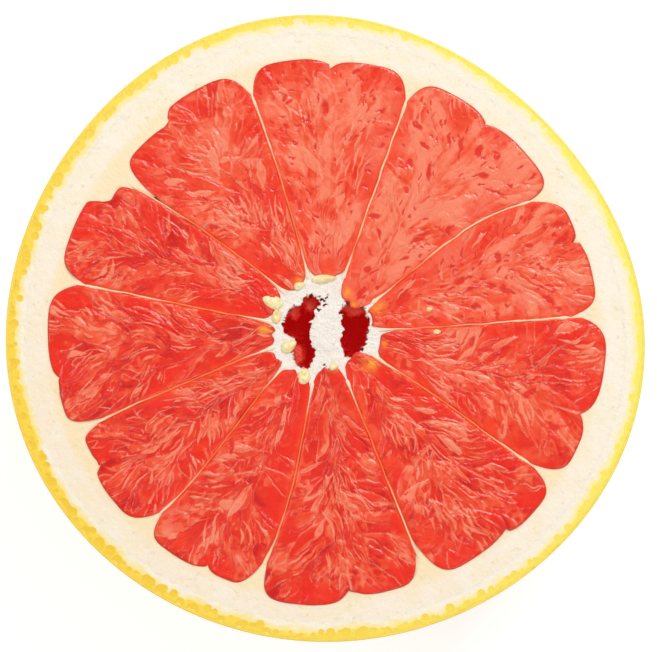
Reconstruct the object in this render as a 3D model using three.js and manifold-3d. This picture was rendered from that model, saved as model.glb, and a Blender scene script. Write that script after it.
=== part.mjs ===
// Half of a pink grapefruit, cut across its middle and lying cut face up. Millimetres, +Z up.
// The fruit grew as one piece, so it is one solid: the rounded peel, the flat cut pith, the eleven
// juicy segments that swell a little above the cut, the hollows beside the core's column of pith,
// and the small seeds that sit where the segments meet the core.
// The origin is the middle of the small flat spot that the fruit rests on.

import * as THREE from "three";
import { mergeVertices } from "three/addons/utils/BufferGeometryUtils.js";
import Module from "manifold-3d";

const wasm = await Module();
wasm.setup();

// The peel: its outline at the cut is a circle with a few slow waves, each a count of waves round
// the fruit, a height and the direction of its first crest in degrees.
const MEAN_RADIUS = 54.7;
const OUTLINE_WAVES = [
  { count: 2, height: 0.74, crest: 157 },
  { count: 3, height: 0.74, crest: 98 },
  { count: 4, height: 0.29, crest: 4 },
];
const CUT_HEIGHT = 46.6; // from the flat spot up to the cut pith
const FLATTENED = 0.6; // how much of the dome's pole is pressed flat where it rests
const DOME_FULLNESS = 2.2; // 2 is an ellipse, more is fuller
const SCAR_RADIUS = 3; // of the blossom scar in the middle of the flat spot
const SCAR_DEPTH = 0.6;

// The core, where all the segments meet, lies a little off the outline's middle.
const CORE = new THREE.Vector2(0.3, 0.4);
const HOLLOW_DEPTH = 13;
const HOLLOWS = [
  { x: -5, y: 1.4, halfWidth: 2.5, halfLength: 3.1 },
  { x: -4, y: -4.1, halfWidth: 1.7, halfLength: 2.6 },
  { x: 5, y: -0.1, halfWidth: 2.2, halfLength: 4.8 },
];

// The skins between the segments: each one's direction in degrees at three distances from the core.
const SKIN_DISTANCES = [9, 25, 44];
const SKIN_HALF_THICKNESS = 0.35;
const SKINS = [
  [0, 2, 3],
  [30, 35.5, 31],
  [70.5, 70.5, 70.5],
  [107, 106.5, 107.5],
  [137.5, 140.5, 143.5],
  [171.5, 170, 169.5],
  [198.5, 200.5, 202],
  [221, 227.5, 227.7],
  [256.5, 258.3, 254.5],
  [293.5, 292.5, 292.3],
  [332, 328.5, 326.8],
];

// Each segment runs from the skin of the same number to the next one. Its tip is its distance from
// the core. Its back has two lobes, with a notch of some depth between them in the direction given,
// and the rind is this thick behind each lobe.
const SEGMENTS = [
  { tip: 8.2, notch: 20, rind: [7.7, 7.6], depth: 0.9 },
  { tip: 7.6, notch: 52.5, rind: [6.8, 7], depth: 1.2 },
  { tip: 9.4, notch: 89, rind: [7.8, 8.3], depth: 1.3 },
  { tip: 9, notch: 126.5, rind: [7.8, 8.6], depth: 1.6 },
  { tip: 9.5, notch: 148.8, rind: [11.2, 7.4], depth: 0.5 },
  { tip: 9, notch: 190.3, rind: [7.3, 8.3], depth: 0.9 },
  { tip: 9.5, notch: 211, rind: [9.7, 7.9], depth: 1 },
  { tip: 8.8, notch: 244, rind: [7.4, 7.5], depth: 1.1 },
  { tip: 7.4, notch: 275.5, rind: [5.8, 7.3], depth: 1.8 },
  { tip: 7.6, notch: 312.5, rind: [7.2, 7.3], depth: 0.7 },
  { tip: 9.5, notch: 341.7, rind: [7.5, 7], depth: 2 },
];
const CORNER_DROP = 5; // how far a back falls at the skins
const CORNER_POWER = 6; // a higher power makes a tighter corner
const NOTCH_POWER = 4;
const TIP_DROP = 2.2; // how far a tip's sides stand back from its middle
const TIP_POWER = 2.5;
const PULP_RISE = 0.6; // the segments swell this far above the cut pith
const PULP_ROOT = 2; // and their pads start this far below it
const PULP_EDGE = 0.7; // width of their rounded edge

// The seeds: place beside the core, length, width and turn in degrees.
const SEEDS = [
  { x: -9.2, y: 4.7, length: 3.8, width: 2.4, turn: 155 },
  { x: -0.1, y: 8.9, length: 4.6, width: 1.6, turn: 5 },
  { x: -4.4, y: 7.8, length: 2.1, width: 1.3, turn: 20 },
  { x: -8.4, y: 2.2, length: 2.3, width: 1.7, turn: 85 },
  { x: -6.2, y: -3, length: 2.9, width: 2.1, turn: 35 },
  { x: -3.7, y: -8.1, length: 3.2, width: 2.1, turn: 75 },
  { x: 1.5, y: -6.5, length: 1.9, width: 1.2, turn: 10 },
];
const SEED_HALF_HEIGHT = 1;
const SEED_STAND = 0.4; // how far they stand above the segments

const ROUND_STEPS = 72; // facets round the fruit
const ELLIPSOID_STEPS = 16; // facets round a hollow, a seed or the scar
const DOME_STEPS = 18;
const BACK_STEPS = 18; // points along a segment's back
const SIDE_STEPS = 5; // and along each side and its tip
const { degToRad, lerp } = THREE.MathUtils;

const poleHeight = CUT_HEIGHT + FLATTENED; // what the dome would reach if it weren't pressed flat

// The peel's distance from the outline's middle in one direction, at the cut.
function outlineRadius(angle) {
  let radius = MEAN_RADIUS;
  for (const { count, height, crest } of OUTLINE_WAVES) {
    radius += height * Math.cos(count * (angle - degToRad(crest)));
  }
  return radius;
}

// The outline's own waves shift its box, so everything is placed from the middle of that box.
const outline = Array.from({ length: ROUND_STEPS }, (_, i) => {
  const angle = (i / ROUND_STEPS) * 2 * Math.PI;
  const radius = outlineRadius(angle);
  return new THREE.Vector2(radius * Math.cos(angle), radius * Math.sin(angle));
});
const middle = new THREE.Box2().setFromPoints(outline).getCenter(new THREE.Vector2());

// The dome's share of its full radius at a depth below the cut, along a superellipse.
function domeShare(depth) {
  const share = Math.min(depth / poleHeight, 1);
  return (1 - share ** DOME_FULLNESS) ** (1 / DOME_FULLNESS);
}

// The whole half fruit without its details: a turned profile, whose rings are then waved.
function domeGeometry() {
  const lowest = Math.asin(CUT_HEIGHT / poleHeight);
  const profile = [new THREE.Vector2(0, 0)];
  for (let i = DOME_STEPS; i >= 0; i--) {
    const depth = poleHeight * Math.sin((i / DOME_STEPS) * lowest);
    profile.push(new THREE.Vector2(domeShare(depth) * MEAN_RADIUS, CUT_HEIGHT - depth));
  }
  profile.push(new THREE.Vector2(0, CUT_HEIGHT));
  const geometry = new THREE.LatheGeometry(profile, ROUND_STEPS).rotateX(Math.PI / 2);
  const places = geometry.getAttribute("position");
  for (let i = 0; i < places.count; i++) {
    const stretch = outlineRadius(Math.atan2(places.getY(i), places.getX(i))) / MEAN_RADIUS;
    places.setXY(i, places.getX(i) * stretch, places.getY(i) * stretch);
  }
  return geometry.translate(-middle.x, -middle.y, 0);
}

// A skin's direction at any distance from the core, on the curve through its three given ones.
function skinAngle(index, distance) {
  const [near, half, far] = SKIN_DISTANCES;
  const turns = Math.floor(index / SKINS.length);
  const [a, b, c] = SKINS[index % SKINS.length];
  const curved =
    (a * (distance - half) * (distance - far)) / ((near - half) * (near - far)) +
    (b * (distance - near) * (distance - far)) / ((half - near) * (half - far)) +
    (c * (distance - near) * (distance - half)) / ((far - near) * (far - half));
  return degToRad(curved + 360 * turns);
}

// A point of segment number index: across runs from 0 at its first skin to 1 at its next.
function segmentPoint(index, across, distance) {
  const clear = SKIN_HALF_THICKNESS / distance;
  const first = skinAngle(index, distance) + clear;
  const last = skinAngle(index + 1, distance) - clear;
  const angle = lerp(first, last, across);
  return new THREE.Vector2(
    CORE.x + distance * Math.cos(angle),
    CORE.y + distance * Math.sin(angle),
  );
}

// How far a segment's back reaches: two arches that fall at the skins and at the notch.
function backDistance(index, across) {
  const { notch, rind, depth } = SEGMENTS[index];
  const far = SKIN_DISTANCES[2];
  const [first, last] = [skinAngle(index, far), skinAngle(index + 1, far)];
  const split = (degToRad(notch) - first) / (last - first);
  const [start, end] = across < split ? [0, split] : [split, 1];
  const crest = lerp(first, last, (start + end) / 2);
  const peel = outlineRadius(crest) - CORE.x * Math.cos(crest) - CORE.y * Math.sin(crest);
  const lobe = ((across - start) / (end - start)) * 2 - 1;
  const bySkin = start === 0 ? lobe < 0 : lobe > 0;
  const drop = bySkin
    ? CORNER_DROP * Math.abs(lobe) ** CORNER_POWER
    : depth * Math.abs(lobe) ** NOTCH_POWER;
  return peel - rind[start === 0 ? 0 : 1] - drop;
}

// How close a segment's rounded tip comes to the core.
function tipDistance(index, across) {
  return SEGMENTS[index].tip + TIP_DROP * Math.abs(across * 2 - 1) ** TIP_POWER;
}

// A segment's outline: out along one skin, round its back, in along the next skin, round its tip.
function segmentShape(index) {
  const points = [];
  for (let i = 0; i < SIDE_STEPS; i++) {
    const distance = lerp(tipDistance(index, 0), backDistance(index, 0), i / SIDE_STEPS);
    points.push(segmentPoint(index, 0, distance));
  }
  for (let i = 0; i <= BACK_STEPS; i++) {
    const across = (1 - Math.cos((i / BACK_STEPS) * Math.PI)) / 2;
    points.push(segmentPoint(index, across, backDistance(index, across)));
  }
  for (let i = SIDE_STEPS - 1; i > 0; i--) {
    const distance = lerp(tipDistance(index, 1), backDistance(index, 1), i / SIDE_STEPS);
    points.push(segmentPoint(index, 1, distance));
  }
  for (let i = SIDE_STEPS; i > 0; i--) {
    points.push(segmentPoint(index, i / SIDE_STEPS, tipDistance(index, i / SIDE_STEPS)));
  }
  return new THREE.Shape(points);
}

// One segment's pad, from under the cut up to its rounded top edge.
function segmentGeometry(index) {
  const edge = { bevelEnabled: true, bevelThickness: PULP_RISE, bevelSize: PULP_EDGE };
  const depth = PULP_ROOT - PULP_RISE;
  const geometry = new THREE.ExtrudeGeometry(segmentShape(index), {
    ...edge,
    bevelOffset: -PULP_EDGE,
    bevelSegments: 2,
    depth,
  });
  return geometry.translate(0, 0, CUT_HEIGHT - depth);
}

// An ellipsoid with its middle at a height, for the hollows, the seeds and the scar.
function roundGeometry(halfX, halfY, halfZ, turn, place, height) {
  return new THREE.SphereGeometry(1, ELLIPSOID_STEPS, ELLIPSOID_STEPS / 2)
    .rotateX(Math.PI / 2)
    .scale(halfX, halfY, halfZ)
    .rotateZ(degToRad(turn))
    .translate(place.x, place.y, height);
}

// A closed geometry as a manifold-3d solid.
function solidOf(geometry) {
  const bare = geometry.index ? geometry.toNonIndexed() : geometry.clone();
  bare.deleteAttribute("normal");
  bare.deleteAttribute("uv");
  const merged = mergeVertices(bare, 1e-3);
  return new wasm.Manifold(
    new wasm.Mesh({
      numProp: 3,
      vertProperties: merged.getAttribute("position").array,
      triVerts: new Uint32Array(merged.index.array),
    }),
  );
}

// A manifold-3d solid as a three.js geometry.
function geometryOf(solid) {
  const { vertProperties, triVerts } = solid.getMesh();
  const geometry = new THREE.BufferGeometry()
    .setAttribute("position", new THREE.BufferAttribute(vertProperties, 3))
    .setIndex(new THREE.BufferAttribute(triVerts, 1));
  geometry.computeVertexNormals();
  return geometry;
}

let fruit = solidOf(domeGeometry());
for (let index = 0; index < SEGMENTS.length; index++) {
  fruit = fruit.add(solidOf(segmentGeometry(index)));
}
for (const { x, y, halfWidth, halfLength } of HOLLOWS) {
  const place = new THREE.Vector2(x, y).add(CORE);
  const well = roundGeometry(halfWidth, halfLength, HOLLOW_DEPTH, 0, place, CUT_HEIGHT + PULP_RISE);
  fruit = fruit.subtract(solidOf(well));
}
for (const { x, y, length, width, turn } of SEEDS) {
  const place = new THREE.Vector2(x, y).add(CORE);
  const height = CUT_HEIGHT + PULP_RISE + SEED_STAND - SEED_HALF_HEIGHT;
  const seed = roundGeometry(length / 2, width / 2, SEED_HALF_HEIGHT, turn, place, height);
  fruit = fruit.add(solidOf(seed));
}
const scar = roundGeometry(SCAR_RADIUS, SCAR_RADIUS, SCAR_DEPTH, 0, new THREE.Vector2(), 0);
fruit = fruit.subtract(solidOf(scar));

const peel = new THREE.MeshStandardMaterial({ color: 0xf2c92e, roughness: 0.45, metalness: 0 });
const half = new THREE.Mesh(geometryOf(fruit), peel);
half.name = "grapefruit_half";

const grapefruit = new THREE.Group();
grapefruit.add(half);

export default grapefruit;
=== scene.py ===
# %% [markdown]
# # Half of a pink grapefruit, cut face up
#
# A cut grapefruit looks simple and isn't: the peel is waxy and pitted, its cut edge shows a row of oil
# glands, the pith is dry and spongy, and each segment is packed with wet juice sacs. This lesson makes
# each of those as a surface of its own, with numpy working out the shape and shader nodes the finish.
#
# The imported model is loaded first. It fixes the size, the place and the body that every piece rides on.

# %% Load the frame
from types import SimpleNamespace

import bpy
import numpy as np
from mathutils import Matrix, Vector


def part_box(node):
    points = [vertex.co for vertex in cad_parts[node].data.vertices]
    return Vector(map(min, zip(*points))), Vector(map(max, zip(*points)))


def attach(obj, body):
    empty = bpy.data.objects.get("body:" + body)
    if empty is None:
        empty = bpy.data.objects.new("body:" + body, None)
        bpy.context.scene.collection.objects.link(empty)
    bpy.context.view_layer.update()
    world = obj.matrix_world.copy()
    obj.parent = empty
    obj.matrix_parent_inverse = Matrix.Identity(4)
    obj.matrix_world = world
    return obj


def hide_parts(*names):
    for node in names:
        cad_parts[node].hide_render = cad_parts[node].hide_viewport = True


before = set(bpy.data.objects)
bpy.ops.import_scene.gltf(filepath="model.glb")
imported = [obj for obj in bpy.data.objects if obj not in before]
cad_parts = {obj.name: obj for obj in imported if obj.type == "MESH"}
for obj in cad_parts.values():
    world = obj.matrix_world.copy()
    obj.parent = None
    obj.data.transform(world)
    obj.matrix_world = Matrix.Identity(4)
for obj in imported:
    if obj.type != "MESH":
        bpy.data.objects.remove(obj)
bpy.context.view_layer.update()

NODE = "grapefruit_half"
MM = 0.001
low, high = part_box(NODE)
node_width, node_top = (high.x - low.x) / MM, high.z / MM
print(f"{NODE}: {node_width:.1f} mm wide, {node_top:.1f} mm high")

# %% [markdown]
# ## The fruit's plan
#
# Everything is placed on the cut face, so the plan comes first, in millimetres. The peel's outline is a
# circle with three slow waves. The core lies a little off its middle, and eleven skins run out from it.
# Tables like these are easier to change than a drawing: one row is one skin, or one segment.

# %% The plan of the cut face, in millimetres
STAND = 1.0  # how far the highest seed stands above the cut pith
cut_height = node_top - STAND
WAVES = [(2, 0.74, 157), (3, 0.74, 98), (4, 0.29, 4)]  # waves round the peel, height, crest in degrees
CORE_SHIFT = np.array([0.3, 0.4])
SKIN_DISTANCES = (9, 25, 44)
SKINS = [
    (0, 2, 3),
    (30, 35.5, 31),
    (70.5, 70.5, 70.5),
    (107, 106.5, 107.5),
    (137.5, 140.5, 143.5),
    (171.5, 170, 169.5),
    (198.5, 200.5, 202),
    (221, 227.5, 227.7),
    (256.5, 258.3, 254.5),
    (293.5, 292.5, 292.3),
    (332, 328.5, 326.8),
]
# Each segment: how near its tip comes to the core, its notch's direction, the rind behind its two lobes,
# the notch's depth, how far its two outer corners are rounded off, and how pale it is, which is painted
# sheen, strongest on the upper segments.
SEGMENTS = [
    (8.2, 20, (7.3, 6.9), 0.9, (4.5, 4.5), 0.8),
    (6.2, 52.5, (6.3, 6.5), 1.2, (4.5, 4.5), 0.9),
    (9.4, 89, (7.4, 7.8), 1.3, (4.5, 5), 0.84),
    (9, 126.5, (7.6, 9.4), 0.7, (4.5, 9.8), 0.42),
    (9.5, 150.0, (11.0, 7.6), 0.5, (4.5, 5), 0.14),
    (9, 190.3, (7.3, 8.3), 0.9, (4.5, 6.5), 0.1),
    (9.5, 211, (9.7, 8.0), 1, (4.5, 4.5), 0.12),
    (8.8, 244, (7.6, 7.7), 1.1, (5, 5), 0.18),
    (6.7, 275.5, (6.3, 7.7), 1.8, (7.7, 5), 0.1),
    (6.8, 312.5, (7.5, 7.4), 0.7, (8.5, 4.5), 0.08),
    (9.5, 341.7, (7.6, 6.9), 2, (6, 4.5), 0.42),
]
FULL_TURN = 2 * np.pi


def waved(angle, mean):
    """A mean radius plus each slow wave, which is a height times the cosine of its turns from its crest."""
    return mean + sum(tall * np.cos(count * (angle - np.radians(crest))) for count, tall, crest in WAVES)


def outline_box(mean):
    """The lowest and highest corner of the outline, from 720 points along it."""
    angle = np.linspace(0, FULL_TURN, 720, endpoint=False)
    rim = waved(angle, mean)[:, None] * np.stack([np.cos(angle), np.sin(angle)], 1)
    return rim.min(0), rim.max(0)


GUESS = 54.7  # a first mean radius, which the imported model's width then corrects
INSIDE = 0.01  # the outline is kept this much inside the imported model's box
guess_low, guess_high = outline_box(GUESS)
mean_radius = GUESS + (node_width - (guess_high - guess_low)[0]) / 2 - INSIDE
middle = -np.mean(outline_box(mean_radius), axis=0)
core = middle + CORE_SHIFT
print(f"mean radius {mean_radius:.2f} mm, core at {core.round(2)} mm")

# %% [markdown]
# ## Small helpers
#
# Natural surfaces need three kinds of irregularity: soft steps, smooth noise and scattered cells. All
# three are short numpy functions that take whole arrays. Using one noise function everywhere keeps the
# result the same on every run, because each call names its own seed.

# %% Soft steps, noise and scattered dots


def soft(start, end, value):
    """Goes smoothly from 0 at start to 1 at end, whichever is larger: three t squared less two t cubed."""
    t = np.clip((value - start) / (end - start), 0, 1)
    return t * t * (3 - 2 * t)


def blend(a, b, share):
    """A straight mix: all a where share is 0, all b where it is 1."""
    return a + (b - a) * share


LATTICE = 64


def noise(x, y, z, size, seed):
    """Smooth noise from -1 to 1: random heights on a cubic lattice of that size, mixed by soft steps."""
    heights = np.random.default_rng(seed).uniform(-1, 1, (LATTICE,) * 3)
    x, y, z = np.broadcast_arrays(x, y, z)
    place = np.stack([x, y, z], -1) / size
    cell = np.floor(place).astype(int)
    share = place - cell
    share = share * share * (3 - 2 * share)
    total = 0
    for corner in np.ndindex(2, 2, 2):
        weight = np.prod(np.where(corner, share, 1 - share), axis=-1)
        i, j, k = np.moveaxis((cell + corner) % LATTICE, -1, 0)
        total = total + weight * heights[i, j, k]
    return total


def flat_noise(x, y, size, seed):
    """The same noise on the cut face, where height doesn't matter."""
    return noise(x, y, 0.0, size, seed)


def dot_distance(x, y, z, size, seed):
    """Distance to the nearest of many scattered dots, one in each cube of that size, in cubes."""
    jitter = np.random.default_rng(seed).uniform(0, 1, (LATTICE,) * 3 + (3,))
    place = np.stack(np.broadcast_arrays(x, y, z), -1) / size
    cell = np.floor(place).astype(int)
    nearest = np.full(place.shape[:-1], 9.0)
    for step in np.ndindex(3, 3, 3):
        near = cell + np.array(step) - 1
        i, j, k = np.moveaxis(near % LATTICE, -1, 0)
        gap = np.linalg.norm(near + jitter[i, j, k] - place, axis=-1)
        nearest = np.minimum(nearest, gap)
    return nearest


print("noise at four places:", flat_noise(np.arange(4) * 0.7, 0.0, 1.0, 1).round(2))

# %% [markdown]
# ## From arrays to closed meshes
#
# Each piece is a grid of points for the side that shows. Its edge is then carried along further rings,
# down into the fruit, and closed with a fan. A closed body prints, weighs and exports properly, which
# an open sheet doesn't. The round pieces use a square grid bent into a disc, because a polar grid would
# crowd its points at the pole.

# %% Grids and their edges


def disc_grid(steps):
    """A square grid bent into a disc: each square ring becomes a circle, so radius is the larger side."""
    line = np.linspace(-1, 1, steps + 1)
    a, b = np.meshgrid(line, line, indexing="ij")
    sideways = np.abs(a) > np.abs(b)
    reach = np.where(sideways, a, b)
    ratio = np.where(sideways, b, a) / np.where(reach == 0, 1, reach)
    angle = np.where(sideways, np.pi / 4 * ratio, np.pi / 2 - np.pi / 4 * ratio)
    return np.abs(reach), np.arctan2(reach * np.sin(angle), reach * np.cos(angle))


def edge_of(grid):
    """The grid's edge points in order, once round."""
    return np.concatenate([grid[0, :-1], grid[:-1, -1], grid[-1, :0:-1], grid[:0:-1, 0]])


def quads_between(first, second):
    """Four-sided faces between two rings of point numbers, which both close on themselves."""
    return np.stack([np.roll(first, -1), first, second, np.roll(second, -1)], 1)


share, angle = disc_grid(8)
print("a grid of 9 by 9 points has", len(edge_of(angle)), "edge points, all at", edge_of(share).min())

# %% Closed meshes


def mesh_object(name, points, quads, fan, rounded=None):
    """A mesh object from points in millimetres, turned right side out by its signed volume. Its first
    faces, as many as rounded says, shade smoothly, and its hidden walls after them are flat."""
    triangles = np.concatenate([quads[:, [0, 1, 2]], quads[:, [0, 2, 3]], fan])
    a, b, c = (points[triangles[:, i]] for i in range(3))
    if np.einsum("ij,ij->i", a, np.cross(b, c)).sum() < 0:
        quads, fan = quads[:, ::-1], fan[:, ::-1]
    mesh = bpy.data.meshes.new(name)
    corners = np.concatenate([quads.ravel(), fan.ravel()])
    sizes = np.concatenate([np.full(len(quads), 4), np.full(len(fan), 3)])
    mesh.vertices.add(len(points))
    mesh.vertices.foreach_set("co", (points * MM).astype(np.float32).ravel())
    mesh.loops.add(len(corners))
    mesh.loops.foreach_set("vertex_index", corners.astype(np.int32))
    mesh.polygons.add(len(sizes))
    starts = np.concatenate([[0], np.cumsum(sizes)[:-1]])
    mesh.polygons.foreach_set("loop_start", starts.astype(np.int32))
    rounded = len(sizes) if rounded is None else rounded
    mesh.polygons.foreach_set("use_smooth", np.arange(len(sizes)) < rounded)
    mesh.update(calc_edges=True)
    mesh.validate()
    piece = bpy.data.objects.new(name, mesh)
    bpy.context.scene.collection.objects.link(piece)
    return piece


def closed_body(name, top, rings=(), crisp=False):
    """A closed piece: the grid that shows, rings that carry its edge on, and a fan to their middle. A
    crisp piece has a sharp edge round that grid."""
    number = np.arange(top.shape[0] * top.shape[1]).reshape(top.shape[:2])
    cells = [number[:-1, :-1], number[:-1, 1:], number[1:, 1:], number[1:, :-1]]
    quads = [np.stack(cells, -1).reshape(-1, 4)]
    points, last = [top.reshape(-1, 3)], edge_of(number)
    for ring in rings:
        following = number.size + sum(map(len, points[1:])) + np.arange(len(ring))
        quads.append(quads_between(last, following))
        points.append(ring)
        last = following
    count = sum(map(len, points))
    fan = np.stack([np.roll(last, -1), last, np.full(len(last), count)], 1)
    rounded = len(quads[0]) if crisp else None
    points.append([ring.mean(0)])
    return mesh_object(name, np.concatenate(points), np.concatenate(quads), fan, rounded)


def walled_body(name, top, depth):
    """A closed piece whose sharp edge goes straight down to so far under the cut."""
    lowered = edge_of(top)
    lowered[:, 2] = cut_height - depth
    return closed_body(name, top, [lowered], crisp=True)


def ring_body(name, rings):
    """A closed tube of rings, the last joined back to the first. The last two are its hidden bottom."""
    size = len(rings[0])
    number = np.arange(len(rings) * size).reshape(len(rings), size)
    quads = [quads_between(number[i - 1], number[i]) for i in (*range(1, len(rings)), 0)]
    rounded = (len(rings) - 3) * size
    return mesh_object(name, np.concatenate(rings), np.concatenate(quads), np.empty((0, 3), int), rounded)


def paint(piece, name, values):
    """Stores one number for each point, for the materials to read. Points past the end repeat it."""
    numbers = np.full(len(piece.data.vertices), np.ravel(values)[-1], np.float32)
    numbers[: np.size(values)] = np.ravel(values)
    piece.data.attributes.new(name, "FLOAT", "POINT").data.foreach_set("value", numbers)


def places_of(piece):
    """The piece's points as an array in millimetres."""
    flat = np.empty(len(piece.data.vertices) * 3, np.float32)
    piece.data.vertices.foreach_get("co", flat)
    return flat.reshape(-1, 3).astype(float) / MM


def finish_piece(piece, material, slot):
    """Gives a piece its material and its body, hides the model node that it stands for, and prints its slot.
    """
    piece.data.materials.append(material)
    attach(piece, "root")
    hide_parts(NODE)
    faces = len(piece.data.loops) - 2 * len(piece.data.polygons)
    print(f"{piece.name}: {faces} triangles, {slot}")


# %% [markdown]
# ## Shader building blocks
#
# Materials here are built by code, so a few short functions save a lot of lines: one adds a node, sets
# its sockets and links its inputs. Two effects are used in several finishes and become node groups: a
# mottle, which shifts a colour in soft patches, and a wet grain, which gives the height of tiny ripples.

# %% Node helpers


def new_material(name):
    """A material with a Principled shader, its tree and that shader."""
    material = bpy.data.materials.new(name)
    material.use_nodes = True
    tree = material.node_tree
    tree.nodes.clear()
    shader = tree.nodes.new("ShaderNodeBsdfPrincipled")
    output = tree.nodes.new("ShaderNodeOutputMaterial")
    tree.links.new(shader.outputs["BSDF"], output.inputs["Surface"])
    return material, tree, shader


def feed(tree, socket, value):
    """Links a socket to another node's output, or sets it to a plain value."""
    if isinstance(value, bpy.types.NodeSocket):
        tree.links.new(value, socket)
    else:
        socket.default_value = value


def attribute(tree, name):
    """A number stored on the piece's points."""
    node = tree.nodes.new("ShaderNodeAttribute")
    node.attribute_name = name
    return node.outputs["Fac"]


def object_place(tree):
    """The place on the piece, in metres."""
    return tree.nodes.new("ShaderNodeTexCoord").outputs["Object"]


def math_node(tree, operation, *values):
    """One sum on numbers."""
    node = tree.nodes.new("ShaderNodeMath")
    node.operation = operation
    for socket, value in zip(node.inputs, values):
        feed(tree, socket, value)
    return node.outputs[0]


def remap(tree, value, start, end, low_value=0.0, high_value=1.0):
    """A soft step from low_value, at start, to high_value, at end."""
    node = tree.nodes.new("ShaderNodeMapRange")
    node.interpolation_type = "SMOOTHSTEP"
    for socket, given in zip(node.inputs, (value, start, end, low_value, high_value)):
        feed(tree, socket, given)
    return node.outputs["Result"]


def mix(tree, share, first, second, kind="MIX"):
    """Mixes two colours."""
    node = tree.nodes.new("ShaderNodeMix")
    node.data_type, node.blend_type = "RGBA", kind
    for socket, value in ((node.inputs[0], share), (node.inputs[6], first), (node.inputs[7], second)):
        feed(tree, socket, value)
    return node.outputs[2]


def noise_node(tree, place, scale, detail=2.0, stretch=None):
    """Blender's noise, from 0 to 1, at so many bumps to the metre."""
    if stretch is not None:
        mapping = tree.nodes.new("ShaderNodeMapping")
        mapping.inputs["Scale"].default_value = stretch
        feed(tree, mapping.inputs["Vector"], place)
        place = mapping.outputs["Vector"]
    node = tree.nodes.new("ShaderNodeTexNoise")
    feed(tree, node.inputs["Vector"], place)
    feed(tree, node.inputs["Scale"], scale)
    feed(tree, node.inputs["Detail"], detail)
    return node.outputs["Fac"]


def bump(tree, height, distance, strength=1.0):
    """Turns a height, where 1 stands for so many metres, into a normal."""
    node = tree.nodes.new("ShaderNodeBump")
    feed(tree, node.inputs["Height"], height)
    node.inputs["Distance"].default_value = distance
    node.inputs["Strength"].default_value = strength
    return node.outputs["Normal"]


def glowing(shader, weight, radius, scale):
    """Light that spreads under the surface, farther in the warm colours."""
    shader.inputs["Subsurface Weight"].default_value = weight
    shader.inputs["Subsurface Radius"].default_value = radius
    shader.inputs["Subsurface Scale"].default_value = scale


def coated(shader, weight, roughness):
    """A clear film over the surface, wax or juice."""
    shader.inputs["Coat Weight"].default_value = weight
    shader.inputs["Coat Roughness"].default_value = roughness


HELPERS = (new_material, feed, attribute, math_node, remap, mix, noise_node, bump, glowing, coated)
print("helpers:", ", ".join(helper.__name__ for helper in HELPERS))

# %% Two shared groups


def start_group(name, inputs, outputs):
    """An empty node group with named sockets, and its two end nodes."""
    group = bpy.data.node_groups.new(name, "ShaderNodeTree")
    for label, kind, value in inputs:
        socket = group.interface.new_socket(label, in_out="INPUT", socket_type=kind)
        socket.default_value = value
    for label, kind in outputs:
        group.interface.new_socket(label, in_out="OUTPUT", socket_type=kind)
    return group, group.nodes.new("NodeGroupInput"), group.nodes.new("NodeGroupOutput")


def use_group(tree, group, **values):
    """Places a group, sets its inputs by name, and returns its outputs."""
    node = tree.nodes.new("ShaderNodeGroup")
    node.node_tree = group
    for label, value in values.items():
        feed(tree, node.inputs[label.replace("_", " ")], value)
    return node.outputs


COLOUR, NUMBER = "NodeSocketColor", "NodeSocketFloat"

mottle, given, result = start_group(
    "mottle",
    [("Base", COLOUR, (1, 1, 1, 1)), ("Patch", COLOUR, (1, 1, 1, 1)), ("Scale", NUMBER, 300.0),
     ("Amount", NUMBER, 0.5)],
    [("Color", COLOUR)],
)
spots = noise_node(mottle, object_place(mottle), given.outputs["Scale"], 3.0)
cover = math_node(mottle, "MULTIPLY", remap(mottle, spots, 0.42, 0.68), given.outputs["Amount"])
feed(mottle, result.inputs["Color"], mix(mottle, cover, given.outputs["Base"], given.outputs["Patch"]))

wet_grain, given, result = start_group(
    "wet_grain",
    [("Scale", NUMBER, 1500.0), ("Fine", NUMBER, 0.3)],
    [("Height", NUMBER)],
)
ripples = noise_node(wet_grain, object_place(wet_grain), given.outputs["Scale"], 1.0)
fine_scale = math_node(wet_grain, "MULTIPLY", given.outputs["Scale"], 3.7)
specks = noise_node(wet_grain, object_place(wet_grain), fine_scale, 1.0)
specks = math_node(wet_grain, "MULTIPLY", specks, given.outputs["Fine"])
feed(wet_grain, result.inputs["Height"], math_node(wet_grain, "ADD", ripples, specks))
print("node groups:", [group.name for group in bpy.data.node_groups])

# %% [markdown]
# ## The peel
#
# The outer peel is a dome that is almost an ellipsoid, a little fuller, pressed flat where it rests. Its
# skin is pitted over every oil gland, and softly lumpy. A sphere with bump alone would look like plastic,
# so the lumps and larger pits are real and only the finest ones are bump. At the cut, the dome's edge
# turns in: that band shows the yellow layer from the side, with its row of glands cut open.

# %% The dome's profile and the glands along its cut edge
FULLNESS = 2.2  # 2 is an ellipse
FLATTENED = 0.6  # how much of the pole is pressed flat
pole_height = cut_height + FLATTENED
PEEL_STEPS = 270
RIM_STEPS = 1620
BAND_START, BAND_WIDTH = 0.4, 3.4  # the zest ring, from the peel's outline inward
RIPE_SIDE = 208  # the direction of the golden side, in degrees
# The glands' spacing, and then their depths under the rim and their radii, each on the lemon side and on
# the golden one.
GLAND_PITCH, GLAND_DEPTHS, GLAND_RADII = 1.55, (0.8, 1.4), (0.66, 0.95)
gland_count = int(FULL_TURN * mean_radius / GLAND_PITCH)
print(f"dome: {pole_height:.1f} mm deep, with {gland_count} glands round its edge")


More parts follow.
